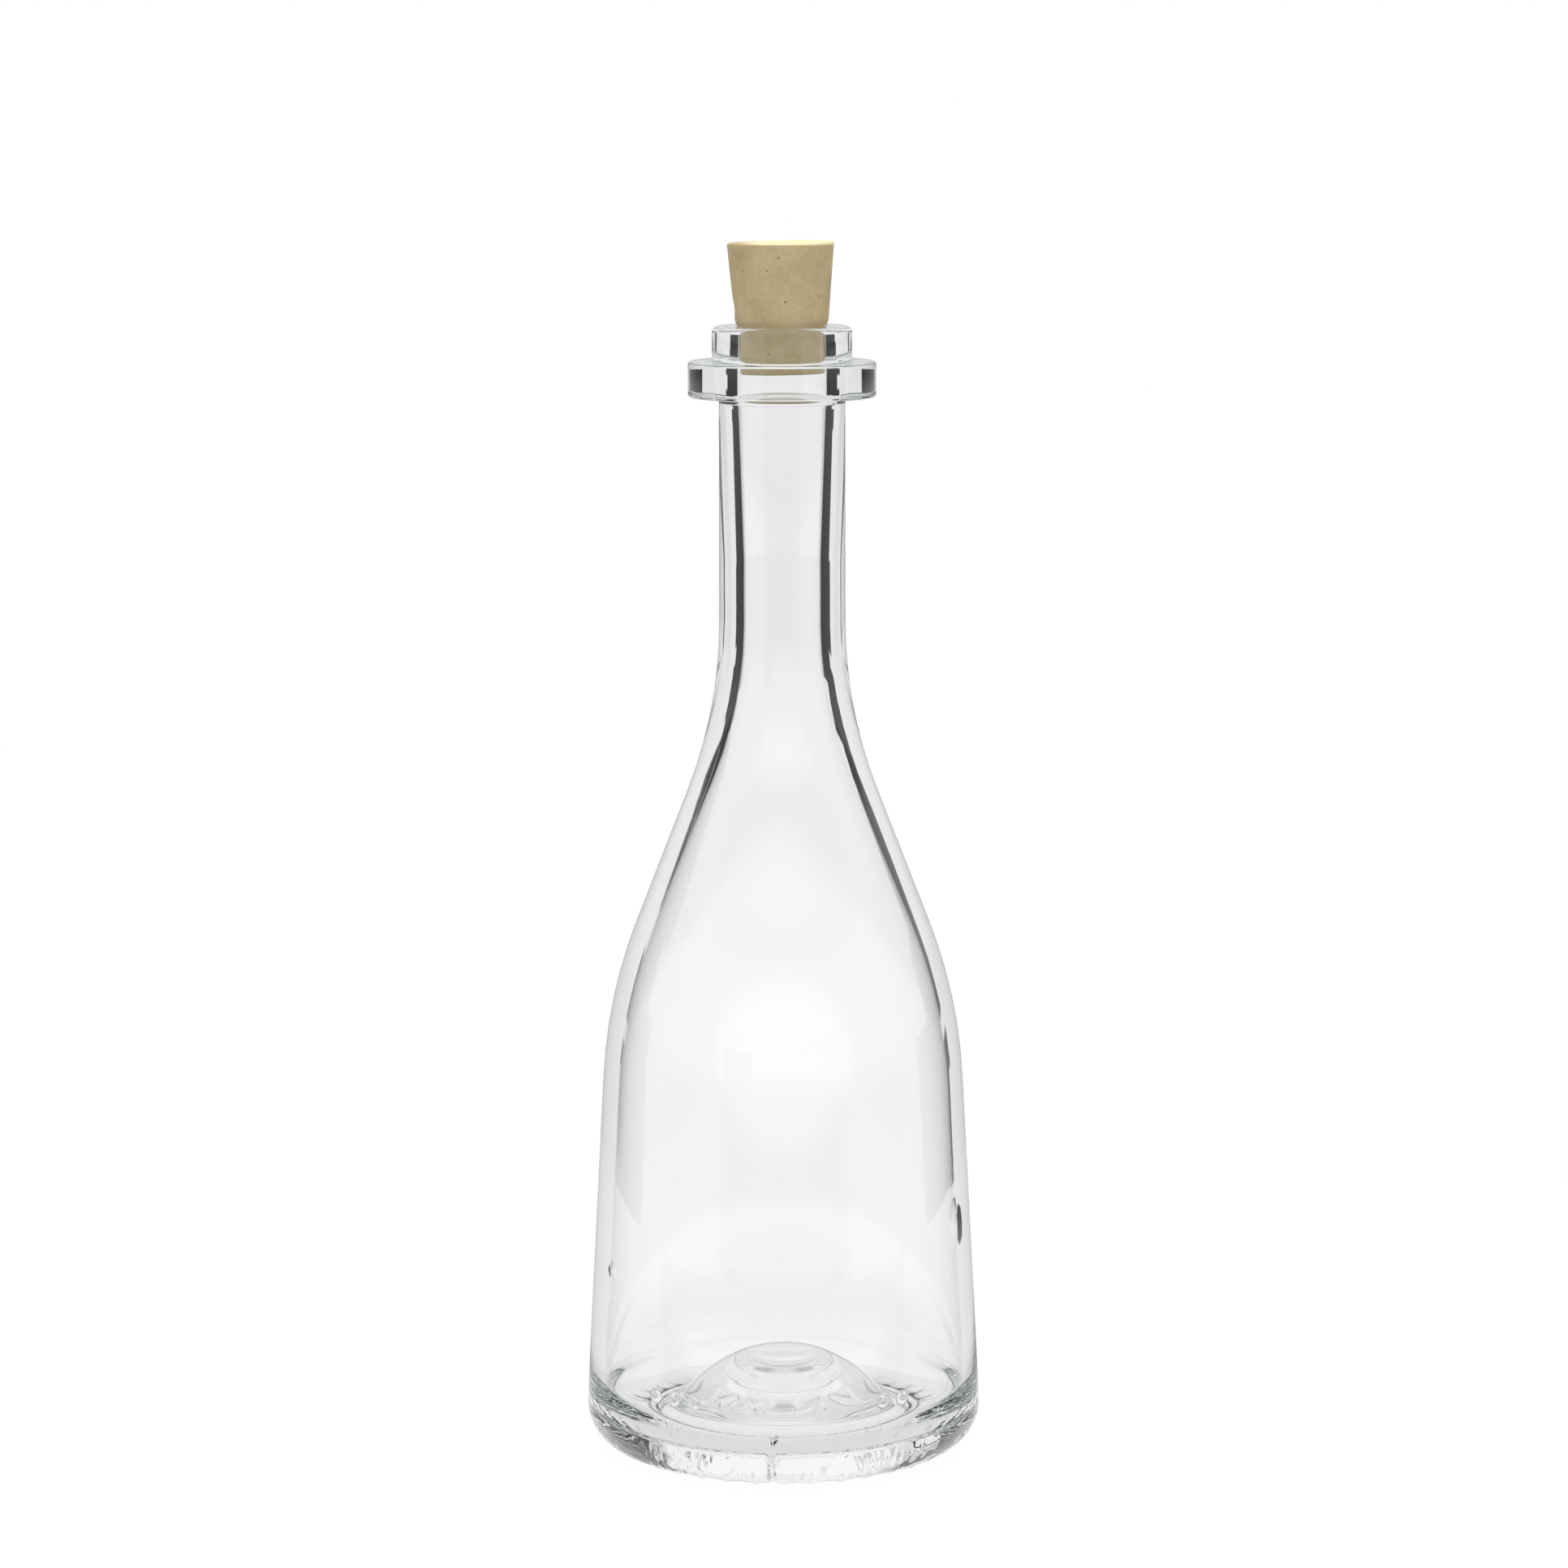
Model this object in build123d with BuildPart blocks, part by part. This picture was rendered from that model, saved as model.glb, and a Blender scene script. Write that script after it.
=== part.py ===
"""Clear glass bottle with a wide collar under its lip, and the tapered cork pushed into its mouth.

Millimetres, +Z up. The origin is the middle of the circle on which the bottle stands.
Both pieces are turned about the Z axis from a half outline drawn on the XZ plane.
"""

import os
from math import atan, pi, sqrt, tan

from build123d import *

# Bottle, outside, from the foot up. The corner sizes say where the straight stretches
# would meet, and each corner is then rounded with its own radius.
foot_radius = 43.2
heel_rounding = 8.0
body_height = 97.9
shoulder_radius = 37.8
shoulder_rounding = 108.0
shoulder_length = 62.4
neck_foot_radius = 13.5
neck_foot_rounding = 100.0
neck_length = 66.3
neck_top_radius = 13.35

# Collar ring at the top of the neck, and the lip above it
collar_height = 7.4
collar_overhang = 5.05
lip_height = 7.4
lip_radius = 14.8
lip_rounding = 1.3
collar_rounding = 0.6
collar_lip_rounding = 1.1
collar_neck_rounding = 1.5

# Bottle, inside
bore_radius = 9.3
bore_depth = 16.5
mouth_rounding = 1.0
bore_foot_rounding = 60.0
throat_radius = 8.15
throat_length = 30.5
throat_foot_rise = 1.2
throat_rounding = 85.0
body_wall = 3.2
inner_shoulder_drop = 0.8
inner_shoulder_rounding = 104.0
floor_height = 5.5

# Floor dome inside, ball-shaped. The round trough about its foot is its own foot rounding
# and the wall's, which takes a share of the room that is left.
floor_dome_rise = 14.5
floor_trough_width = 15.35
floor_dome_foot_rounding = 6.8
floor_rounding_share = 0.95

# Punt, the hollow in the underside: a steep wall inside the standing ring, a cone, and a
# narrow straight step with a flat top under the roof of glass
standing_ring_width = 12.0
punt_wall_height = 4.0
punt_wall_lean = 0.6
punt_roof = 4.0
punt_top_radius = 10.3
punt_step_height = 4.6
punt_top_rounding = 0.8
punt_step_rounding = 1.5
punt_wall_rounding = 1.0
punt_edge_rounding = 1.5

# Round marks left by the mould, low on the front of the body
mark_height = 18.5
mark_radius = 1.25
mark_rise = 0.3
mark_root = 1.0
mark_rounding = 0.25
mark_spacing = 6.6
left_mark_count = 6
right_mark_place_shares = (1.6, 4.5, 5.5)

# Cork: its free shape is a plain cone, squeezed to the bore where the mouth grips it
cork_length = 26.8
cork_depth = 9.0
cork_foot_ease = 0.4
cork_flare = 2.4
cork_edge_break = 0.4
cork_swell_height = 1.6
cork_clearance = 0.04
mouth_grip_share = 0.5

# Heights and radii worked out from the sizes above
side_slope = (foot_radius - shoulder_radius) / body_height
neck_foot_height = body_height + shoulder_length
collar_foot_height = neck_foot_height + neck_length
lip_foot_height = collar_foot_height + collar_height
bottle_height = lip_foot_height + lip_height
collar_radius = lip_radius + collar_overhang
bore_foot_height = bottle_height - bore_depth
throat_foot_height = neck_foot_height + throat_foot_rise
throat_top_height = throat_foot_height + throat_length
inner_shoulder_height = body_height - inner_shoulder_drop
inner_shoulder_radius = shoulder_radius + side_slope * inner_shoulder_drop - body_wall
inner_foot_radius = foot_radius - side_slope * floor_height - body_wall
floor_dome_foot_radius = inner_foot_radius - floor_trough_width
floor_dome_radius = (floor_dome_foot_radius**2 + floor_dome_rise**2) / (2 * floor_dome_rise)
floor_dome_top = floor_height + floor_dome_rise
floor_dome_centre = floor_dome_top - floor_dome_radius
dome_foot_drop = floor_height + floor_dome_foot_rounding - floor_dome_centre
dome_foot_reach = sqrt((floor_dome_radius + floor_dome_foot_rounding) ** 2 - dome_foot_drop**2)
floor_corner_angle = pi / 2 - atan(side_slope)
floor_room = inner_foot_radius - dome_foot_reach
floor_rounding = floor_rounding_share * floor_room * tan(floor_corner_angle / 2)
punt_foot_radius = foot_radius - standing_ring_width
punt_wall_radius = punt_foot_radius - punt_wall_lean
punt_height = floor_dome_top - punt_roof
punt_step_foot = punt_height - punt_step_height
mark_circle_radius = foot_radius - side_slope * mark_height
cork_foot_height = bottle_height - cork_depth
cork_top_height = cork_foot_height + cork_length
cork_foot_radius = bore_radius - cork_foot_ease
cork_top_radius = cork_foot_radius + cork_flare
cork_grip_radius = bore_radius - cork_clearance
cork_taper = cork_flare / cork_length
cork_grip_foot = cork_foot_height + (cork_grip_radius - cork_foot_radius) / cork_taper
cork_grip_top = bottle_height - mouth_grip_share * mouth_rounding
cork_swell_top = cork_grip_top + cork_swell_height
cork_swell_radius = cork_foot_radius + cork_taper * (cork_swell_top - cork_foot_height)

# Half outlines, from the axis at the foot round to the axis at the top
outer_corners = [
    (0, punt_height),
    (punt_top_radius, punt_height),
    (punt_top_radius, punt_step_foot),
    (punt_wall_radius, punt_wall_height),
    (punt_foot_radius, 0),
    (foot_radius, 0),
    (shoulder_radius, body_height),
    (neck_foot_radius, neck_foot_height),
    (neck_top_radius, collar_foot_height),
    (collar_radius, collar_foot_height),
    (collar_radius, lip_foot_height),
    (lip_radius, lip_foot_height),
    (lip_radius, bottle_height),
    (0, bottle_height),
]
outer_roundings = [
    punt_top_rounding,
    punt_step_rounding,
    punt_wall_rounding,
    punt_edge_rounding,
    heel_rounding,
    shoulder_rounding,
    neck_foot_rounding,
    collar_neck_rounding,
    collar_rounding,
    collar_rounding,
    collar_lip_rounding,
    lip_rounding,
]
inner_corners = [
    (0, floor_height),
    (inner_foot_radius, floor_height),
    (inner_shoulder_radius, inner_shoulder_height),
    (throat_radius, throat_foot_height),
    (throat_radius, throat_top_height),
    (bore_radius, bore_foot_height),
    (bore_radius, bottle_height),
    (0, bottle_height),
]
inner_roundings = [
    floor_rounding,
    inner_shoulder_rounding,
    throat_rounding,
    bore_foot_rounding,
    bore_foot_rounding,
    0,
]
cork_corners = [
    (0, cork_foot_height),
    (cork_foot_radius, cork_foot_height),
    (cork_grip_radius, cork_grip_foot),
    (cork_grip_radius, cork_grip_top),
    (cork_swell_radius, cork_swell_top),
    (cork_top_radius, cork_top_height),
    (0, cork_top_height),
]

# One mould mark: a low round button on the front of the body, rooted in its wall
with BuildPart() as mould_mark:
    with BuildSketch(Plane.XZ.offset(mark_circle_radius - mark_root)):
        Circle(mark_radius)
    extrude(amount=mark_root + mark_rise)
    mark_rim = mould_mark.faces().sort_by(Axis.Y)[0].edges()
    fillet(mark_rim, mark_rounding)

# Glass bottle: the outside with its punt, less the inside, which rises over the floor dome
with BuildPart() as glass_bottle:
    with BuildSketch(Plane.XZ):
        with BuildLine():
            FilletPolyline(*outer_corners, radius=outer_roundings)
            Line(outer_corners[-1], outer_corners[0])
        make_face()
    revolve(axis=Axis.Z)
    with BuildSketch(Plane.XZ) as inside:
        with BuildLine():
            FilletPolyline(*inner_corners, radius=inner_roundings)
            Line(inner_corners[-1], inner_corners[0])
        make_face()
        with Locations((0, floor_dome_centre)):
            Circle(floor_dome_radius, mode=Mode.SUBTRACT)
        dome_foot = inside.vertices().sort_by_distance((floor_dome_foot_radius, floor_height, 0))[0]
        fillet(dome_foot, floor_dome_foot_rounding)
    revolve(axis=Axis.Z, mode=Mode.SUBTRACT)
    mouth_edge = glass_bottle.edges().sort_by_distance((bore_radius, 0, bottle_height))[0]
    fillet(mouth_edge, mouth_rounding)

    left_places = [-1 - number for number in range(left_mark_count)]
    for place in [*left_places, *right_mark_place_shares]:
        with Locations(Location((0, 0, mark_height), (0, 0, place * mark_spacing))):
            add(mould_mark.part)

# Cork stopper
with BuildPart() as cork_stopper:
    with BuildSketch(Plane.XZ) as cork_outline:
        with BuildLine():
            Polyline(*cork_corners, close=True)
        make_face()
        cork_edges = [
            cork_outline.vertices().sort_by_distance((radius, height, 0))[0]
            for radius, height in ((cork_foot_radius, cork_foot_height), (cork_top_radius, cork_top_height))
        ]
        chamfer(cork_edges, cork_edge_break)
    revolve(axis=Axis.Z)

glass_bottle.part.label = "glass_bottle"
cork_stopper.part.label = "cork_stopper"

os.makedirs("parts", exist_ok=True)
export_step(glass_bottle.part, "parts/glass_bottle.step")
export_step(cork_stopper.part, "parts/cork_stopper.step")

print(f"glass volume {glass_bottle.part.volume:.0f} mm3")
print(f"cork volume {cork_stopper.part.volume:.0f} mm3")
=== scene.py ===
"""Clear glass bottle with a cork in its mouth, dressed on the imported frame.

The meshes are in metres, +Z up, in the frame's own coordinates, and the pieces' own sizes in
millimetres. The front is -Y, where the camera stands.
"""

import logging
import math
from collections.abc import Iterable, Mapping, Sequence
from dataclasses import dataclass
from enum import Enum

import bmesh
import bpy
from mathutils import Matrix, Vector, noise


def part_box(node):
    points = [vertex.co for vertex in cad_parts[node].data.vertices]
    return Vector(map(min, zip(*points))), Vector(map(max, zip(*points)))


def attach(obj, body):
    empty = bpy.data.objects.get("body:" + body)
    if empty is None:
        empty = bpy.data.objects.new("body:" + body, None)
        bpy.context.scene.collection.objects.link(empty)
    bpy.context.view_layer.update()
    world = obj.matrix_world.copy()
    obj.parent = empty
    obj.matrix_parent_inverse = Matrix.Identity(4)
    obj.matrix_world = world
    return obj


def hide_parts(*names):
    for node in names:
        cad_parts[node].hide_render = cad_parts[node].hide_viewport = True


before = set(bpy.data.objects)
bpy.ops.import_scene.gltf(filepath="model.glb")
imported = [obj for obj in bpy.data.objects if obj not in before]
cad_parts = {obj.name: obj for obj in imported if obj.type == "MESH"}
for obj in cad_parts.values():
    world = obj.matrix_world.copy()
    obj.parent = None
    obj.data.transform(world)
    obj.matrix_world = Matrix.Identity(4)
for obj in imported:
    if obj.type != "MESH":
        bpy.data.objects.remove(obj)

MM = 0.001
WELD = 0.002 * MM
INSIDE_MARK = "inside"
IMAGE_SIDE = 1932
log = logging.getLogger("bottle")


class Slot(Enum):
    """The material slots' names."""

    GLASS = "clear_glass"
    CORK = "cork"


class Body(Enum):
    """The bodies that the pieces ride on."""

    BOTTLE = "bottle"
    STOPPER = "stopper"


@dataclass(frozen=True)
class Wire:
    """A shader output that takes part in Python arithmetic: each operator adds a Math node."""

    graph: "Graph"
    socket: bpy.types.NodeSocket

    def _math(self, operation: str, *values: "Wire | float") -> "Wire":
        """Adds a Math node.

        Args:
            operation: the Math node's operation.
            values: its inputs, in order.

        Returns:
            The node's output.
        """
        return self.graph.out("ShaderNodeMath", {"operation": operation}, dict(enumerate(values)))

    def __add__(self, other: "Wire | float") -> "Wire":
        """self + other"""
        return self._math("ADD", self, other)

    def __radd__(self, other: float) -> "Wire":
        """other + self"""
        return self._math("ADD", other, self)

    def __sub__(self, other: "Wire | float") -> "Wire":
        """self - other"""
        return self._math("SUBTRACT", self, other)

    def __rsub__(self, other: float) -> "Wire":
        """other - self"""
        return self._math("SUBTRACT", other, self)

    def __mul__(self, other: "Wire | float") -> "Wire":
        """self * other"""
        return self._math("MULTIPLY", self, other)

    def __rmul__(self, other: float) -> "Wire":
        """other * self"""
        return self._math("MULTIPLY", other, self)

    def __truediv__(self, other: "Wire | float") -> "Wire":
        """self / other"""
        return self._math("DIVIDE", self, other)

    def above(self, limit: float) -> "Wire":
        """1 where the value is above limit, else 0."""
        return self._math("GREATER_THAN", self, limit)

    def below(self, limit: float) -> "Wire":
        """1 where the value is below limit, else 0."""
        return self._math("LESS_THAN", self, limit)

    def larger(self, other: "Wire | float") -> "Wire":
        """The larger of two values."""
        return self._math("MAXIMUM", self, other)

    def turn(self, along: "Wire") -> "Wire":
        """The angle in degrees whose tangent is self / along, over the full circle."""
        return self._math("ARCTAN2", self, along) * math.degrees(1.0)

    def tilt(self) -> "Wire":
        """The angle in degrees whose sine is self."""
        return self._math("ARCSINE", self) * math.degrees(1.0)

    def rise(self, low: float, high: float) -> "Wire":
        """A smooth step, falling where low is the larger value.

        Args:
            low: value at which the step is still 0.
            high: value at which the step has reached 1.

        Returns:
            The step's output, from 0 to 1.
        """
        settings = {"interpolation_type": "SMOOTHSTEP", "clamp": True}
        inputs = {"Value": self, "From Min": low, "From Max": high}
        return self.graph.out("ShaderNodeMapRange", settings, inputs)


Input = Wire | bpy.types.NodeSocket | float | Sequence[float]


class Graph:
    """A node tree that is filled from Python."""

    def __init__(self, owner: bpy.types.Material | bpy.types.World) -> None:
        """Empties the owner's node tree.

        Args:
            owner: the material or world that the nodes belong to.
        """
        owner.use_nodes = True
        self.tree = owner.node_tree
        self.tree.nodes.clear()

    def node(self, kind: str, settings: Mapping[str, object] | None = None,
             inputs: Mapping[str | int, Input] | None = None) -> bpy.types.Node:
        """Adds a node.

        Args:
            kind: the node's type name.
            settings: its properties, set first.
            inputs: values or links by socket identifier, name or place.

        Returns:
            The new node.
        """
        node = self.tree.nodes.new(kind)
        for name, value in (settings or {}).items():
            setattr(node, name, value)
        for key, value in (inputs or {}).items():
            socket = node.inputs[key] if isinstance(key, int) else self._find(node.inputs, key)
            if isinstance(value, Wire):
                self.tree.links.new(value.socket, socket)
            elif isinstance(value, bpy.types.NodeSocket):
                self.tree.links.new(value, socket)
            else:
                socket.default_value = value
        return node

    def out(self, kind: str, settings: Mapping[str, object] | None = None,
            inputs: Mapping[str | int, Input] | None = None, output: str | int = 0) -> Wire:
        """Adds a node and gives one of its outputs.

        Args:
            kind: the node's type name.
            settings: its properties.
            inputs: its input values or links.
            output: the output's identifier, name or place.

        Returns:
            The output, ready for arithmetic.
        """
        node = self.node(kind, settings, inputs)
        socket = node.outputs[output] if isinstance(output, int) else self._find(node.outputs, output)
        return Wire(self, socket)

    def blend(self, share: Wire | float, first: Input, second: Input) -> Wire:
        """Mixes two colours.

        Args:
            share: how much of the second colour shows.
            first: the colour at share 0.
            second: the colour at share 1.

        Returns:
            The mixed colour.
        """
        inputs = {"Factor_Float": share, "A_Color": first, "B_Color": second}
        return self.out("ShaderNodeMix", {"data_type": "RGBA"}, inputs, "Result_Color")

    @staticmethod
    def _find(sockets: Iterable[bpy.types.NodeSocket], key: str) -> bpy.types.NodeSocket:
        """Finds a socket.

        Args:
            sockets: a node's inputs or outputs.
            key: the socket's identifier or name.

        Returns:
            The first socket with that identifier, or else with that name.
        """
        for attribute in ("identifier", "name"):
            for socket in sockets:
                if getattr(socket, attribute) == key:
                    return socket
        raise KeyError(key)


@dataclass(frozen=True)
class ClearGlass:
    """Polished clear glass with a faint grey-green tint that shows only where it is thick."""

    name: str = "clear_glass"
    ior: float = 1.52
    tint: tuple[float, float, float, float] = (0.47, 0.62, 0.55, 1.0)
    tint_density: float = 3.0

    def make(self) -> bpy.types.Material:
        """Makes the glass.

        Returns:
            The finished material.
        """
        material = bpy.data.materials.new(self.name)
        graph = Graph(material)
        skin = graph.out("ShaderNodeBsdfPrincipled", {}, {
            "Base Color": (1.0, 1.0, 1.0, 1.0),
            "Roughness": 0.0,
            "IOR": self.ior,
            "Transmission Weight": 1.0,
        })
        inputs = {"Color": self.tint, "Density": self.tint_density}
        depth = graph.out("ShaderNodeVolumeAbsorption", {}, inputs)
        graph.node("ShaderNodeOutputMaterial", {}, {"Surface": skin, "Volume": depth})
        return material


@dataclass(frozen=True)
class CorkSkin:
    """Fine-grained cork: pale brown, softly mottled, with small dark pores."""

    name: str = "cork_skin"
    base: tuple[float, float, float, float] = (0.46, 0.37, 0.205, 1.0)
    dark: tuple[float, float, float, float] = (0.36, 0.27, 0.14, 1.0)
    pale: tuple[float, float, float, float] = (0.52, 0.43, 0.26, 1.0)
    pore: tuple[float, float, float, float] = (0.20, 0.14, 0.07, 1.0)
    cut: tuple[float, float, float, float] = (0.76, 0.65, 0.40, 1.0)
    mottle_scale: float = 260.0
    blotch_scale: float = 90.0
    grain_scale: float = 1500.0
    pore_scale: float = 420.0
    mottle_detail: float = 4.0
    blotch_detail: float = 2.0
    grain_detail: float = 3.0
    mottle_band: tuple[float, float] = (0.35, 0.65)
    grain_band: tuple[float, float] = (0.45, 0.75)
    blotch_band: tuple[float, float] = (0.45, 0.7)
    pore_band: tuple[float, float] = (0.16, 0.07)
    pore_patch_band: tuple[float, float] = (0.50, 0.58)
    cut_band_mm: tuple[float, float] = (0.35, 0.15)
    mottle_share: float = 0.7
    grain_share: float = 0.35
    blotch_share: float = 0.4
    pore_share: float = 0.7
    pore_depth: float = 2.0
    bump_distance: float = 0.0001
    bump_strength: float = 0.5
    roughness: float = 0.85
    shine: float = 0.25
    top_height: float = 0.2589
    lean_degrees: float = 1.0

    @staticmethod
    def _noise(graph: Graph, place: Wire, scale: float, detail: float) -> Wire:
        """Adds a noise texture.

        Args:
            graph: the node tree.
            place: where the texture is read.
            scale: its scale.
            detail: how many finer layers it has.

        Returns:
            The noise, from 0 to 1.
        """
        inputs = {"Vector": place, "Scale": scale, "Detail": detail}
        return graph.out("ShaderNodeTexNoise", {}, inputs, "Fac")

    def make(self) -> bpy.types.Material:
        """Makes the cork.

        Returns:
            The finished material.
        """
        material = bpy.data.materials.new(self.name)
        graph = Graph(material)
        place = graph.out("ShaderNodeTexCoord", {}, {}, "Object")
        mottle = self._noise(graph, place, self.mottle_scale, self.mottle_detail)
        grain = self._noise(graph, place, self.grain_scale, self.grain_detail)
        blotch = self._noise(graph, place, self.blotch_scale, self.blotch_detail)
        inputs = {"Vector": place, "Scale": self.pore_scale}
        cell = graph.out("ShaderNodeTexVoronoi", {}, inputs, "Distance")
        split = graph.node("ShaderNodeSeparateXYZ", {}, {"Vector": place})
        across, up = Wire(graph, split.outputs["X"]), Wire(graph, split.outputs["Z"])
        lean = math.tan(math.radians(self.lean_degrees))
        below_top_mm = (across * lean + up - self.top_height) * (-1.0 / MM)
        colour = graph.blend(mottle.rise(*self.mottle_band) * self.mottle_share, self.base, self.pale)
        spots = grain.rise(*self.grain_band) * self.grain_share
        spots = spots + blotch.rise(*self.blotch_band) * self.blotch_share
        colour = graph.blend(spots, colour, self.dark)
        pores = cell.rise(*self.pore_band) * mottle.rise(*self.pore_patch_band)
        colour = graph.blend(pores * self.pore_share, colour, self.pore)
        colour = graph.blend(below_top_mm.rise(*self.cut_band_mm), colour, self.cut)
        bump = graph.out("ShaderNodeBump", {}, {
            "Height": grain + mottle - pores * self.pore_depth,
            "Distance": self.bump_distance,
            "Strength": self.bump_strength,
        })
        skin = graph.out("ShaderNodeBsdfPrincipled", {}, {
            "Base Color": colour,
            "Roughness": self.roughness,
            "Specular IOR Level": self.shine,
            "Normal": bump,
        })
        graph.node("ShaderNodeOutputMaterial", {}, {"Surface": skin})
        return material


@dataclass(frozen=True)
class Corner:
    """A corner of a half outline, rounded with its own radius. Sizes in millimetres."""

    radius: float
    height: float
    rounding: float = 0.0


@dataclass(frozen=True)
class Outline:
    """A half outline on the XZ plane: straight runs between rounded corners."""

    corners: Sequence[Corner]
    arc_step_degrees: float = 9.0
    longest_run: float = 6.0

    def points(self) -> list[Vector]:
        """Rounds the corners and divides the long runs.

        Returns:
            The outline's points in millimetres, as (radius, 0, height).
        """
        spots = [Vector((corner.radius, 0.0, corner.height)) for corner in self.corners]
        found = [spots[0]]
        for before, spot, after, corner in zip(spots, spots[1:], spots[2:], self.corners[1:]):
            for point in self._rounded(before, spot, after, corner.rounding):
                self._run_to(found, point)
        self._run_to(found, spots[-1])
        return found

    def _run_to(self, found: list[Vector], end: Vector) -> None:
        """Adds a straight run.

        Args:
            found: the points so far, which the run is added to.
            end: where the run ends.
        """
        start = found[-1]
        if (end - start).length * MM < WELD:
            return
        steps = max(1, math.ceil((end - start).length / self.longest_run))
        found.extend(start.lerp(end, step / steps) for step in range(1, steps + 1))

    def _rounded(self, before: Vector, spot: Vector, after: Vector, rounding: float) -> list[Vector]:
        """Rounds one corner.

        Args:
            before: the corner before it.
            spot: the corner.
            after: the corner after it.
            rounding: the arc's radius.

        Returns:
            The points along the arc, or the bare corner.
        """
        if rounding <= 0.0:
            return [spot]
        back, forth = (before - spot).normalized(), (after - spot).normalized()
        half = back.angle(forth) / 2
        turn = math.pi - 2 * half
        centre = spot + (back + forth).normalized() * (rounding / math.sin(half))
        start = spot + back * (rounding / math.tan(half)) - centre
        axis = start.cross(spot + forth * (rounding / math.tan(half)) - centre).normalized()
        by_angle = math.ceil(math.degrees(turn) / self.arc_step_degrees)
        steps = max(2, by_angle, math.ceil(turn * rounding / self.longest_run))
        return [centre + Matrix.Rotation(turn * step / steps, 3, axis) @ start for step in range(steps + 1)]


def smooth_step(value: float, low: float, high: float) -> float:
    """Rises smoothly from 0 at low to 1 at high, or falls where low is the larger.

    Args:
        value: where the step is wanted.
        low: value at which it is still 0.
        high: value at which it has reached 1.

    Returns:
        The step, from 0 to 1.
    """
    share = min(1.0, max(0.0, (value - low) / (high - low)))
    return share * share * (3.0 - 2.0 * share)


def refined(points: Sequence[Vector], low: float, high: float, step: float) -> list[Vector]:
    """Adds points to the stretch of an outline between two heights.

    Args:
        points: the outline.
        low: height at which the stretch starts.
        high: height at which it ends.
        step: the longest distance left between its points.

    Returns:
        The outline with the added points.
    """
    found = [points[0]]
    for start, end in zip(points, points[1:]):
        cuts = sorted({low, high} if start.z < end.z else set())
        stops = [(cut - start.z) / (end.z - start.z) for cut in cuts if start.z < cut < end.z]
        for share_from, share_to in zip([0.0, *stops], [*stops, 1.0]):
            first, last = start.lerp(end, share_from), start.lerp(end, share_to)
            within = low <= (first.z + last.z) / 2 <= high
            steps = max(1, math.ceil((last - first).length / step)) if within else 1
            found.extend(first.lerp(last, number / steps) for number in range(1, steps + 1))
    return found


def finish_piece(mesh: bmesh.types.BMesh, name: str, material: bpy.types.Material) -> bpy.types.Object:
    """Turns a bmesh into a smooth-shaded piece at the origin.

    Args:
        mesh: the finished shape, freed here.
        name: the piece's name.
        material: its finish.

    Returns:
        The new object, linked to the scene.
    """
    for face in mesh.faces:
        face.smooth = True
    data = bpy.data.meshes.new(name)
    mesh.to_mesh(data)
    mesh.free()
    data.materials.append(material)
    piece = bpy.data.objects.new(name, data)
    bpy.context.scene.collection.objects.link(piece)
    return piece


@dataclass(frozen=True)
class Wedge:
    """A stretch of a turned shape: one wedge and its copies, side by side."""

    degrees: float
    steps: int
    copies: int


def turned(points: Sequence[Vector], start_degrees: float, wedges: Sequence[Wedge],
           inner: range = range(0)) -> bmesh.types.BMesh:
    """Turns a half outline about the Z axis, one wedge at a time.

    Args:
        points: the outline, in millimetres.
        start_degrees: where the first wedge starts, counted from the -Y axis towards +X.
        wedges: the stretches, which add up to a full turn.
        inner: places in points of the inside wall, whose vertices are marked.

    Returns:
        The closed shape, in metres, with its normals outwards.
    """
    mesh = bmesh.new()
    marker = mesh.verts.layers.int.new(INSIDE_MARK)
    place = start_degrees - 90.0
    for wedge in wedges:
        at_start = Matrix.Rotation(math.radians(place), 3, "Z")
        spots = [mesh.verts.new(at_start @ point * MM) for point in points]
        for number in inner:
            spots[number][marker] = 1
        strip = [mesh.edges.new(pair) for pair in zip(spots, spots[1:])]
        known = set(mesh.faces)
        bmesh.ops.spin(mesh, geom=[*spots, *strip], cent=(0, 0, 0), axis=(0, 0, 1),
                       angle=math.radians(wedge.degrees), steps=wedge.steps)
        skin = [face for face in mesh.faces if face not in known]
        for copy in range(1, wedge.copies):
            twin = bmesh.ops.duplicate(mesh, geom=skin)["geom"]
            turn = Matrix.Rotation(math.radians(copy * wedge.degrees), 3, "Z")
            moved = [item for item in twin if isinstance(item, bmesh.types.BMVert)]
            bmesh.ops.rotate(mesh, verts=moved, cent=(0, 0, 0), matrix=turn)
        place += wedge.degrees * wedge.copies
    bmesh.ops.remove_doubles(mesh, verts=mesh.verts, dist=WELD)
    bmesh.ops.recalc_face_normals(mesh, faces=mesh.faces)
    return mesh


@dataclass(frozen=True)
class Dent:
    """A shallow oval hollow in a turned surface. Sizes in millimetres."""

    degrees: float
    height: float
    half_width: float
    half_height: float
    depth: float

    def at(self, degrees: float, height: float, radius: float) -> float:
        """Measures the dent at one spot.

        Args:
            degrees: place round the axis, from the front towards +X.
            height: height of the spot.
            radius: its distance from the axis.

        Returns:
            The depth there, in millimetres.
        """
        across = math.radians(degrees - self.degrees) * radius / self.half_width
        up = (height - self.height) / self.half_height
        return self.depth * smooth_step(math.hypot(across, up), 1.0, 0.0)


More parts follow.
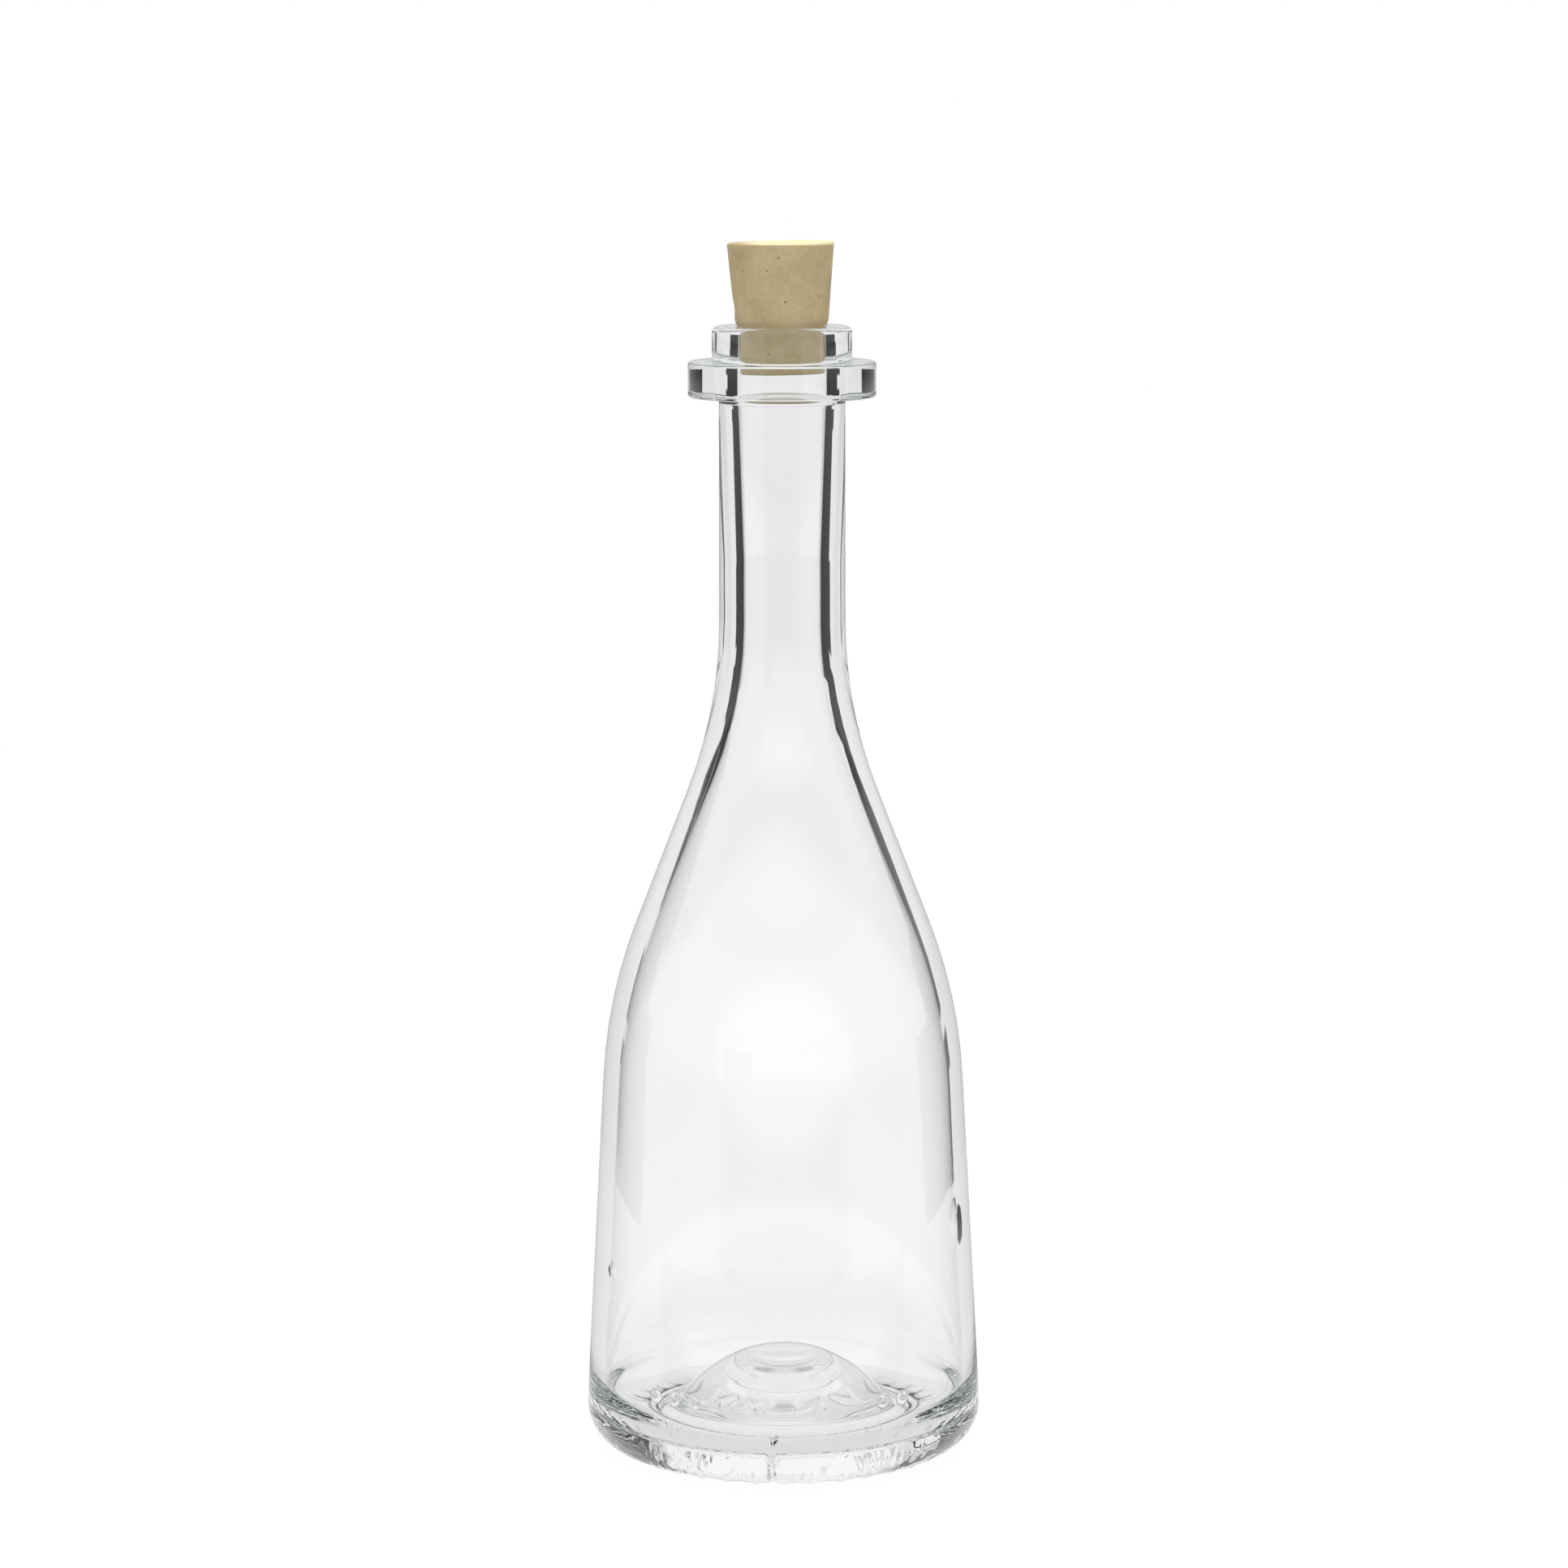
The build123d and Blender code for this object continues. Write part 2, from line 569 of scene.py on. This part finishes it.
@dataclass
class GlassBottle:
    """The blown bottle: body, shoulder, neck, collar ring, lip and punt in one piece.

    Sizes are in millimetres.
    """

    height: float
    foot_radius: float = 43.2
    heel_rounding: float = 8.0
    body_height: float = 97.9
    shoulder_radius: float = 37.8
    shoulder_rounding: float = 108.0
    shoulder_length: float = 62.4
    neck_foot_radius: float = 13.5
    neck_foot_rounding: float = 100.0
    neck_top_radius: float = 13.35
    collar_height: float = 7.4
    collar_overhang: float = 5.05
    lip_height: float = 7.4
    lip_radius: float = 14.8
    lip_rounding: float = 1.3
    collar_rounding: float = 0.6
    collar_lip_rounding: float = 1.1
    collar_neck_rounding: float = 1.5
    bore_radius: float = 9.3
    bore_depth: float = 16.5
    mouth_rounding: float = 1.0
    bore_foot_rounding: float = 60.0
    throat_radius: float = 8.15
    throat_length: float = 30.5
    throat_foot_rise: float = 1.2
    throat_rounding: float = 85.0
    body_wall: float = 3.2
    inner_shoulder_drop: float = 0.8
    inner_shoulder_rounding: float = 104.0
    floor_height: float = 5.5
    floor_rounding: float = 10.4
    floor_dome_rise: float = 14.5
    floor_trough_width: float = 15.35
    floor_dome_foot_rounding: float = 6.8
    floor_dome_steps: int = 22
    floor_dome_foot_steps: int = 8
    standing_ring_width: float = 12.0
    punt_wall_height: float = 4.0
    punt_wall_lean: float = 0.6
    punt_height: float = 16.0
    punt_top_radius: float = 10.3
    punt_step_height: float = 4.6
    punt_top_rounding: float = 0.8
    punt_step_rounding: float = 1.5
    punt_wall_rounding: float = 1.0
    punt_edge_rounding: float = 1.5
    skin_inset: float = 0.03
    foot_lift: float = 0.002
    base_radius: float = 30.0
    axis_room: float = 0.1
    mark_height: float = 18.5
    mark_radius: float = 1.35
    mark_edge: float = 0.7
    mark_rise: float = 0.28
    mark_dimple: float = 0.1
    mark_spacing_degrees: float = 6.6
    mark_places: tuple[float, ...] = (-6, -5, -4, -3, -2, -1, 1.6, 4.5, 5.5)
    mark_grid: float = 0.32
    rib_count: int = 40
    rib_height: float = 0.35
    rib_top: float = 1.8
    rib_radius: float = 35.0
    rib_ease: float = 1.5
    rib_sharpness: int = 3
    seam_degrees: float = -3.4
    seam_half_degrees: float = 1.7
    seam_depth: float = 1.3
    seam_top: float = 8.0
    seam_ease: float = 1.5
    ripple_depth: float = 0.16
    ripple_length: float = 0.8
    ripple_top: float = 9.0
    ripple_full_height: float = 4.0
    wave_depth: float = 0.09
    wave_length: float = 13.0
    wave_height: float = 60.0
    wave_fade_heights: tuple[float, float] = (225.0, 190.0)
    wall_dents: tuple[Dent, ...] = (
        Dent(70.0, 50.5, 3.0, 6.0, 0.32),
        Dent(-67.0, 41.0, 1.6, 1.8, 0.35),
    )
    wall_grid: float = 1.2
    wall_grid_heights: tuple[float, float] = (37.0, 59.0)
    wedge_degrees: float = 45.0
    front_steps: int = 100
    back_steps: int = 25
    front_wedges: int = 2
    back_wedges: int = 6

    def side_slope(self) -> float:
        """How much the body's radius shrinks per millimetre of height."""
        return (self.foot_radius - self.shoulder_radius) / self.body_height

    def outline(self) -> tuple[list[Vector], range]:
        """Draws the half outline: from the punt's middle out, up, in at the mouth and down to the
        middle of the floor dome.

        Returns:
            The outline's points, and the places among them of the inside wall.
        """
        slope = self.side_slope()
        lip_foot = self.height - self.lip_height
        collar_foot = lip_foot - self.collar_height
        collar_radius = self.lip_radius + self.collar_overhang
        neck_foot = self.body_height + self.shoulder_length
        inner_foot = self.foot_radius - slope * self.floor_height - self.body_wall
        inner_shoulder = self.shoulder_radius + slope * self.inner_shoulder_drop - self.body_wall
        punt_foot = self.foot_radius - self.standing_ring_width
        floor = self._dome(self.floor_dome_rise, inner_foot - self.floor_trough_width, self.floor_height,
                           self.floor_dome_foot_rounding)
        outside = Outline((
            Corner(0, self.punt_height),
            Corner(self.punt_top_radius, self.punt_height, self.punt_top_rounding),
            Corner(self.punt_top_radius, self.punt_height - self.punt_step_height, self.punt_step_rounding),
            Corner(punt_foot - self.punt_wall_lean, self.punt_wall_height, self.punt_wall_rounding),
            Corner(punt_foot, 0, self.punt_edge_rounding),
            Corner(self.foot_radius, 0, self.heel_rounding),
            Corner(self.shoulder_radius, self.body_height, self.shoulder_rounding),
            Corner(self.neck_foot_radius, neck_foot, self.neck_foot_rounding),
            Corner(self.neck_top_radius, collar_foot, self.collar_neck_rounding),
            Corner(collar_radius, collar_foot, self.collar_rounding),
            Corner(collar_radius, lip_foot, self.collar_rounding),
            Corner(self.lip_radius, lip_foot, self.collar_lip_rounding),
            Corner(self.lip_radius, self.height, self.lip_rounding),
            Corner(self.bore_radius, self.height, self.mouth_rounding),
            Corner(self.bore_radius, self.height - self.mouth_rounding),
        )).points()
        inside = Outline((
            Corner(self.bore_radius, self.height - self.mouth_rounding),
            Corner(self.bore_radius, self.height - self.bore_depth, self.bore_foot_rounding),
            Corner(self.throat_radius, neck_foot + self.throat_foot_rise + self.throat_length,
                   self.bore_foot_rounding),
            Corner(self.throat_radius, neck_foot + self.throat_foot_rise, self.throat_rounding),
            Corner(inner_shoulder, self.body_height - self.inner_shoulder_drop, self.inner_shoulder_rounding),
            Corner(inner_foot, self.floor_height, self.floor_rounding),
            Corner(floor[-1].x, self.floor_height),
        )).points()
        reach = self.mark_radius + self.mark_grid
        outside = refined(outside, self.mark_height - reach, self.mark_height + reach, self.mark_grid)
        inside = refined(inside, *self.wall_grid_heights, self.wall_grid)
        points = [*outside, *inside[1:], *reversed(floor[:-1])]
        return points, range(len(outside), len(points))

    def _dome(self, rise: float, foot: float, level: float, foot_rounding: float) -> list[Vector]:
        """Outlines a ball-shaped dome that eases into a flat ring at its foot.

        Args:
            rise: the dome's height over the ring.
            foot: the radius at which dome and ring would meet.
            level: the ring's height.
            foot_rounding: radius of the easing arc.

        Returns:
            The points from the dome's top to the start of the ring.
        """
        ball = (foot**2 + rise**2) / (2 * rise)
        drop = ball - rise
        reach = math.sqrt((ball + foot_rounding) ** 2 - (drop + foot_rounding) ** 2)
        last = math.asin(reach / (ball + foot_rounding))
        found = []
        steps = self.floor_dome_steps
        for step in range(steps + 1):
            angle = last * step / steps
            found.append(Vector((ball * math.sin(angle), 0, level - drop + ball * math.cos(angle))))
        steps = self.floor_dome_foot_steps
        for step in range(1, steps + 1):
            angle = last * (1 - step / steps)
            found.append(Vector((reach - foot_rounding * math.sin(angle), 0,
                                 level + foot_rounding - foot_rounding * math.cos(angle))))
        return found

    def _mark_lift(self, degrees: float, height: float, radius: float) -> float:
        """Lifts the round marks that the mould left on the front.

        Args:
            degrees: place round the body, from the front towards +X.
            height: height of the spot.
            radius: its distance from the axis.

        Returns:
            How far the spot moves outwards, in millimetres.
        """
        if abs(height - self.mark_height) > self.mark_radius:
            return 0.0
        across = min(abs(degrees - place * self.mark_spacing_degrees) for place in self.mark_places)
        away = math.hypot(math.radians(across) * radius, height - self.mark_height)
        button = self.mark_rise * smooth_step(away, self.mark_radius, self.mark_edge)
        return button - self.mark_dimple * smooth_step(away, self.mark_edge, 0.0)

    def _rib_lift(self, degrees: float, height: float, radius: float) -> float:
        """Hollows the standing ring between its ribs.

        Args:
            degrees: place round the ring.
            height: height of the spot.
            radius: its distance from the axis.

        Returns:
            How far the spot moves up, in millimetres; 0 on the tip of a rib.
        """
        tip = (0.5 + 0.5 * math.cos(math.radians(degrees) * self.rib_count)) ** self.rib_sharpness
        outer = smooth_step(radius, self.rib_radius, self.rib_radius + self.rib_ease)
        return self.rib_height * (1.0 - tip) * outer * smooth_step(height, self.rib_top, 0.0)

    def _heel_dent(self, degrees: float, height: float, flat: Vector) -> float:
        """Ripples the heel and cuts the short groove of the mould's seam at its front.

        Args:
            degrees: place round the body.
            height: height of the spot.
            flat: its place on the XY plane.

        Returns:
            How far the spot moves inwards, in millimetres.
        """
        spot = flat * (1.0 / self.ripple_length) + Vector((0, 0, height / self.ripple_top))
        ripple = self.ripple_depth * (1.0 - noise.noise(spot))
        ripple *= smooth_step(height, self.ripple_top, self.ripple_full_height)
        groove = smooth_step(abs(degrees - self.seam_degrees), self.seam_half_degrees, 0.0)
        groove *= smooth_step(height, self.seam_top, self.seam_top - self.seam_ease)
        return ripple + self.seam_depth * groove

    def _shape(self, mesh: bmesh.types.BMesh) -> None:
        """Gives the plain turned shape what the mould and the blowing left on the glass.

        Args:
            mesh: the bottle, changed in place.
        """
        marker = mesh.verts.layers.int[INSIDE_MARK]
        for vert in mesh.verts:
            flat = Vector((vert.co.x, vert.co.y, 0)) / MM
            radius, height = flat.length, vert.co.z / MM
            if radius < self.axis_room:
                continue
            degrees = math.degrees(math.atan2(flat.x, -flat.y))
            out, up = 0.0, 0.0
            if vert[marker]:
                spot = flat / self.wave_length + Vector((0, 0, height / self.wave_height))
                out = self.wave_depth * noise.noise(spot) * smooth_step(height, *self.wave_fade_heights)
                out += sum(dent.at(degrees, height, radius) for dent in self.wall_dents)
            else:
                out = self._mark_lift(degrees, height, radius) - self.skin_inset
                if radius > self.base_radius:
                    up = self._rib_lift(degrees, height, radius) + self.foot_lift
                    out -= self._heel_dent(degrees, height, flat)
            vert.co += (flat.normalized() * out + Vector((0, 0, up))) * MM

    def build(self) -> bpy.types.Object:
        """Builds the bottle, which rides on its body in place of its node.

        Returns:
            The finished bottle.
        """
        points, inner = self.outline()
        front = Wedge(self.wedge_degrees, self.front_steps, self.front_wedges)
        back = Wedge(self.wedge_degrees, self.back_steps, self.back_wedges)
        mesh = turned(points, -self.wedge_degrees, (front, back), inner)
        self._shape(mesh)
        piece = finish_piece(mesh, "glass_bottle_blown", ClearGlass().make())
        piece.visible_shadow = False
        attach(piece, Body.BOTTLE.value)
        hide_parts("glass_bottle")
        return piece


@dataclass
class CorkStopper:
    """The tapered cork, leaning a little in the mouth. Sizes in millimetres."""

    foot_height: float
    top_height: float
    mouth_height: float
    foot_radius: float = 8.9
    top_radius: float = 11.26
    grip_radius: float = 9.08
    mouth_rounding: float = 1.0
    edge_rounding: float = 0.35
    lean_degrees: float = 1.0
    lean_room: float = 0.3
    foot_drop: float = 0.7
    swell_height: float = 1.6
    chips: tuple[Dent, ...] = (Dent(-92.0, 245.6, 2.6, 2.4, 0.6), Dent(-60.0, 256.5, 1.2, 0.8, 0.25))
    longest_run: float = 0.4
    arc_step_degrees: float = 20.0
    wedge: Wedge = Wedge(degrees=45.0, steps=24, copies=8)

    def outline(self) -> list[Vector]:
        """Draws the half outline from the foot's middle to the top's middle.

        Returns:
            The outline's points.
        """
        top = self.top_height - self.lean_room
        foot = self.foot_height - self.foot_drop
        taper = (self.top_radius - self.foot_radius) / (top - foot)
        grip_foot = foot + (self.grip_radius - self.foot_radius) / taper
        swell_foot = self.mouth_height - self.mouth_rounding / 2
        swell_top = swell_foot + self.swell_height
        swell_radius = self.foot_radius + taper * (swell_top - foot)
        return Outline((
            Corner(0, foot),
            Corner(self.foot_radius, foot, self.edge_rounding),
            Corner(self.grip_radius, grip_foot),
            Corner(self.grip_radius, swell_foot),
            Corner(swell_radius, swell_top),
            Corner(self.top_radius, top, self.edge_rounding),
            Corner(0, top),
        ), longest_run=self.longest_run, arc_step_degrees=self.arc_step_degrees).points()

    def build(self) -> bpy.types.Object:
        """Builds the cork, which rides on its body in place of its node.

        Returns:
            The finished cork.
        """
        mesh = turned(self.outline(), 0.0, (self.wedge,))
        for vert in mesh.verts:
            flat = Vector((vert.co.x, vert.co.y, 0)) / MM
            degrees = math.degrees(math.atan2(flat.x, -flat.y))
            chipped = sum(chip.at(degrees, vert.co.z / MM, flat.length) for chip in self.chips)
            vert.co -= flat.normalized() * chipped * MM
        pivot = Vector((0, 0, self.mouth_height * MM))
        lean = Matrix.Rotation(math.radians(-self.lean_degrees), 3, "Y")
        bmesh.ops.rotate(mesh, verts=mesh.verts, cent=pivot, matrix=lean)
        skin = CorkSkin(top_height=(self.top_height - self.lean_room) * MM, lean_degrees=self.lean_degrees)
        piece = finish_piece(mesh, "cork_stopper_skin", skin.make())
        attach(piece, Body.STOPPER.value)
        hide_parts("cork_stopper")
        return piece


@dataclass(frozen=True)
class Panel:
    """A dark panel far off in the studio, by direction in degrees: azimuth from +Y towards +X."""

    left: float
    right: float
    low: float
    high: float
    soft: float = 1.5

    def mask(self, azimuth: Wire, elevation: Wire) -> Wire:
        """Masks the panel.

        Args:
            azimuth: the ray's azimuth in degrees.
            elevation: its elevation in degrees.

        Returns:
            1 on the panel and 0 off it, with soft edges.
        """
        left = azimuth.rise(self.left - self.soft, self.left)
        right = azimuth.rise(self.right + self.soft, self.right)
        low = elevation.rise(self.low - self.soft, self.low)
        high = elevation.rise(self.high + self.soft, self.high)
        return (left * right) * (low * high)


@dataclass(frozen=True)
class Lamp:
    """A square soft lamp that shines at the middle of the bottle."""

    name: str
    place: tuple[float, float, float]
    power: float
    side: float = 0.8
    aim_height: float = 0.15

    def build(self) -> None:
        """Hangs the lamp, unseen in the glass."""
        data = bpy.data.lights.new(self.name, "AREA")
        data.energy = self.power
        data.size = self.side
        lamp = bpy.data.objects.new(self.name, data)
        lamp.location = self.place
        lamp.visible_glossy = False
        lamp.visible_transmission = False
        aim = Vector((0, 0, self.aim_height)) - Vector(self.place)
        lamp.rotation_euler = aim.to_track_quat("-Z", "Y").to_euler()
        bpy.context.scene.collection.objects.link(lamp)


@dataclass
class Studio:
    """Floor, world, lamps and camera.

    Levels are strengths of light, 1 for white. A pair holds the two values between which a smooth
    step goes from 0 to 1: distances over the floor in metres, elevations in degrees and, for a sector
    or a turn, how much of the direction points to the front or the back.
    """

    floor_radius: float = 0.30
    floor_segments: int = 96
    floor_drop: float = 0.0002
    floor_glow: float = 0.9
    floor_matte: float = 0.9
    disc_edge: tuple[float, float] = (0.085, 0.055)
    front_sector_rise: tuple[float, float] = (0.2, 0.7)
    front_near_edge: tuple[float, float] = (0.09, 0.13)
    front_far_edge: tuple[float, float] = (0.27, 0.18)
    back_sector_rise: tuple[float, float] = (0.0, 0.5)
    side_edge: tuple[float, float] = (0.05, 0.07)
    ahead_edge: tuple[float, float] = (0.045, 0.06)
    far_through_edge: tuple[float, float] = (0.16, 0.10)
    # Painted shadow on the floor under the bottle, seen only through the glass
    ring_shade_inside: tuple[float, float] = (0.0265, 0.0295)
    ring_shade_outside: tuple[float, float] = (0.047, 0.045)
    ring_shade_level: float = 0.76
    under_bottle_shade_level: float = 0.82
    side_level: float = 0.84
    floor_near_level: float = 0.95
    floor_side_level: float = 0.84
    camera_distance: float = 0.940
    camera_height: float = 0.293
    aim_height: float = 0.1439
    aim_side: float = 0.0003
    camera_roll_degrees: float = 0.08
    focal_pixels: float = 5489.0
    sensor_width_mm: float = 36.0
    clip_start: float = 0.01
    clip_end: float = 20.0
    diffuse_level: float = 0.58
    panel_level: float = 0.012
    solid_edge_degrees: float = 47.0
    solid_low: float = -5.6
    solid_overhead: float = 6.0
    solid_underside: float = -13.0
    neck_through_level: float = 0.93
    neck_through_rise: tuple[float, float] = (-8.8, -7.6)
    floor_through_level: float = 0.93
    front_low_level: float = 0.2
    front_band_level: float = 0.9
    front_high_level: float = 0.1
    back_level: float = 0.8
    behind_level: float = 0.4
    front_band_rise: tuple[float, float] = (-5.0, 4.0)
    front_band_fall: tuple[float, float] = (34.0, 22.0)
    back_rise: tuple[float, float] = (-3.0, 6.0)
    side_turn: tuple[float, float] = (-0.4, 0.1)
    high_behind_turn: tuple[float, float] = (0.0, 0.5)
    high_behind_rise: tuple[float, float] = (19.0, 26.0)
    overhead_rise: tuple[float, float] = (36.0, 42.0)
    light_bounces: int = 40
    panels: tuple[Panel, ...] = (
        Panel(-77, -43, -11, -7),
        Panel(-77, -41, -7, -5, 0.5),
        Panel(-77, -46, -5, -2.5, 0.5),
        Panel(-77, -41, -2.5, 4, 0.5),
        Panel(-68, -45, 4, 9),
        Panel(-64, -48, 9, 14),
        Panel(38, 77, -12, -8, 0.6),
        Panel(34, 77, -8, -5, 0.5),
        Panel(44, 77, -5, -2.5, 0.5),
        Panel(36, 77, -2.5, 1, 0.5),
        Panel(36, 60, 1, 9),
        Panel(38, 50, 9, 13),
        Panel(-46, 28, 8, 24),
        Panel(-70, -46, 14, 22),
        Panel(142, 190, -19, -4, 10.0),
        Panel(-190, -142, -19, -4, 10.0),
        Panel(-157, -138, -4, 8),
        Panel(-112, -93, -35, -21),
        Panel(3, 22, -35, -21),
    )
    lamps: tuple[Lamp, ...] = (
        Lamp("lamp_left", (-0.9, -0.9, 0.9), 7.0),
        Lamp("lamp_right", (0.9, -0.9, 0.9), 7.0),
        Lamp("lamp_top", (0.0, 0.1, 1.3), 8.0),
    )

    def _light_by_path(self, graph: Graph, bounced: Wire | float, one_wall: Wire | float) -> Wire:
        """Picks the light that a ray meets from the way it came.

        Args:
            graph: the node tree.
            bounced: light for a ray that was mirrored on its way.
            one_wall: light for a ray that has passed one wall of glass.

        Returns:
            The light's strength; 1 for the camera's own rays and for those straight through the bottle.
        """
        level = 1.0 + self._depth(graph, "Glossy Depth", 1) * (bounced - 1.0)
        level = level + self._in_one_wall(graph) * (one_wall - level)
        return level + self._depth(graph, "Diffuse Depth", 1) * (self.diffuse_level - level)

    @staticmethod
    def _depth(graph: Graph, kind: str, least: int) -> Wire:
        """Tells how often the ray was turned on its way.

        Args:
            graph: the node tree.
            kind: the Light Path output that counts the turns.
            least: the count from which the answer is yes.

        Returns:
            1 for yes, else 0.
        """
        return graph.out("ShaderNodeLightPath", {}, {}, kind).above(least - 0.5)

    def _in_one_wall(self, graph: Graph) -> Wire:
        """1 for a ray that went into one wall of glass and out of it again, else 0."""
        into = self._depth(graph, "Transmission Depth", 1)
        return into * (1.0 - self._depth(graph, "Transmission Depth", 3))

    @staticmethod
    def _between(low: float, high: float, share: Wire) -> Wire:
        """Goes from one level to another.

        Args:
            low: the level at share 0.
            high: the level at share 1.
            share: how far it has gone.

        Returns:
            The level.
        """
        return low + share * (high - low)

    def build_world(self) -> None:
        """Makes the world: white to the camera and through the bottle, with dark panels beside it."""
        world = bpy.data.worlds.new("studio")
        bpy.context.scene.world = world
        graph = Graph(world)
        where = graph.out("ShaderNodeTexCoord", {}, {}, "Generated")
        split = graph.node("ShaderNodeSeparateXYZ", {}, {"Vector": where})
        side, back, up = (Wire(graph, split.outputs[axis]) for axis in "XYZ")
        azimuth = side.turn(back)
        elevation = up.tilt()
        dark: Wire | float = 0.0
        for panel in self.panels:
            mask = panel.mask(azimuth, elevation)
            dark = mask if isinstance(dark, float) else dark.larger(mask)
        # Rays that were never mirrored see the panels only far to the sides, high up or low down
        edge = self.solid_edge_degrees
        in_solid = elevation.above(self.solid_low) * azimuth.above(edge).larger(azimuth.below(-edge))
        in_solid = in_solid.larger(elevation.above(self.solid_overhead))
        in_solid = in_solid.larger(elevation.below(self.solid_underside))
        dark = dark * self._depth(graph, "Glossy Depth", 1).larger(in_solid)
        one_wall = self._between(self.side_level, self.panel_level, dark)
        band = elevation.rise(*self.front_band_rise) * elevation.rise(*self.front_band_fall)
        front = self._between(self.front_low_level, self.front_band_level, band)
        over_band = elevation.rise(*reversed(self.front_band_fall))
        front = front + over_band * (self.front_high_level - self.front_low_level)
        rear = self._between(self.behind_level, self.back_level, elevation.rise(*self.back_rise))
        high_behind = back.rise(*self.high_behind_turn) * elevation.rise(*self.high_behind_rise)
        around = front + back.rise(*self.side_turn) * (rear - front)
        bounced = around.larger(high_behind).larger(elevation.rise(*self.overhead_rise))
        level = self._light_by_path(graph, bounced, one_wall)
        through = self._depth(graph, "Transmission Depth", 3) * elevation.rise(*self.neck_through_rise)
        level = level * self._between(1.0, self.neck_through_level, through)
        sky = graph.out("ShaderNodeBackground", {}, {"Color": (1.0, 1.0, 1.0, 1.0), "Strength": level})
        graph.node("ShaderNodeOutputWorld", {}, {"Surface": sky})

    def build_floor(self) -> None:
        """Makes the pale floor, whose light depends on where and through how much glass it is seen, with a
        painted shadow under the bottle that shows only through the glass.
        """
        material = bpy.data.materials.new("pale_floor")
        graph = Graph(material)
        where = graph.out("ShaderNodeTexCoord", {}, {}, "Object")
        reach = graph.out("ShaderNodeVectorMath", {"operation": "LENGTH"}, {0: where}, "Value")
        split = graph.node("ShaderNodeSeparateXYZ", {}, {"Vector": where})
        back = Wire(graph, split.outputs["Y"])
        ahead = 0.0 - back
        in_front = (ahead / reach).rise(*self.front_sector_rise) * ahead.rise(*self.front_near_edge)
        bright = reach.rise(*self.disc_edge).larger(in_front * reach.rise(*self.front_far_edge))
        behind = (back / reach).rise(*self.back_sector_rise)
        far = self._between(self.front_low_level, self.behind_level, behind)
        bounced = far + bright * (1.0 - far)
        one_wall = self._between(self.floor_near_level, self.floor_side_level, reach.rise(*self.side_edge))
        one_wall = one_wall + ahead.rise(*self.ahead_edge) * (bounced - one_wall)
        level = self._light_by_path(graph, bounced, one_wall)
        # Painted shadow on the floor under the bottle, seen only through the glass: a darker ring under the
        # standing ring for rays through one wall, and darker light over the whole disc under the bottle for
        # rays through more glass
        under = reach.rise(*self.ring_shade_outside)
        ring = under * reach.rise(*self.ring_shade_inside) * self._in_one_wall(graph)
        level = level * self._between(1.0, self.ring_shade_level, ring)
        through = self._between(1.0, self.floor_through_level, reach.rise(*self.far_through_edge))
        through = through + under * (self.under_bottle_shade_level - through)
        level = level * (1.0 + self._depth(graph, "Transmission Depth", 3) * (through - 1.0))
        grey = (self.floor_matte, self.floor_matte, self.floor_matte, 1.0)
        matte = graph.out("ShaderNodeBsdfDiffuse", {}, {"Color": grey})
        glow = graph.out("ShaderNodeEmission", {}, {"Color": (1.0, 1.0, 1.0, 1.0), "Strength": level})
        mixed = graph.out("ShaderNodeMixShader", {}, {0: self.floor_glow, 1: matte, 2: glow})
        graph.node("ShaderNodeOutputMaterial", {}, {"Surface": mixed})
        mesh = bmesh.new()
        bmesh.ops.create_circle(mesh, cap_ends=True, segments=self.floor_segments, radius=self.floor_radius)
        bmesh.ops.translate(mesh, verts=mesh.verts, vec=(0, 0, -self.floor_drop))
        floor = finish_piece(mesh, "floor", material)

    def build_camera(self) -> None:
        """Makes the camera at the photograph's angle."""
        data = bpy.data.cameras.new("camera")
        data.sensor_width = self.sensor_width_mm
        data.lens = self.focal_pixels / IMAGE_SIDE * self.sensor_width_mm
        data.clip_start = self.clip_start
        data.clip_end = self.clip_end
        camera = bpy.data.objects.new("camera", data)
        place = Vector((self.aim_side, -self.camera_distance, self.camera_height))
        aim = Vector((self.aim_side, 0, self.aim_height)) - place
        level = aim.to_track_quat("-Z", "Y").to_matrix()
        roll = Matrix.Rotation(math.radians(self.camera_roll_degrees), 3, aim)
        camera.location = place
        camera.rotation_euler = (roll @ level).to_euler()
        bpy.context.scene.collection.objects.link(camera)
        bpy.context.scene.camera = camera

    def build(self) -> None:
        """Builds the whole studio."""
        scene = bpy.context.scene
        scene.view_settings.view_transform = "Standard"
        scene.cycles.max_bounces = self.light_bounces
        scene.cycles.glossy_bounces = self.light_bounces
        scene.cycles.transmission_bounces = self.light_bounces
        self.build_world()
        self.build_floor()
        for lamp in self.lamps:
            lamp.build()
        self.build_camera()


def main() -> None:
    logging.basicConfig(level=logging.INFO, format="%(name)s: %(message)s")
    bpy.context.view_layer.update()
    bottle_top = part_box("glass_bottle")[1][2] / MM
    cork_low, cork_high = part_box("cork_stopper")
    Studio().build()
    log.info("studio ready")
    bottle = GlassBottle(height=bottle_top)
    cork = CorkStopper(foot_height=cork_low[2] / MM, top_height=cork_high[2] / MM, mouth_height=bottle_top)
    for maker in (bottle, cork):
        piece = maker.build()
        log.info("%s: %d faces", piece.name, len(piece.data.polygons))


if __name__ == "__main__":
    main()
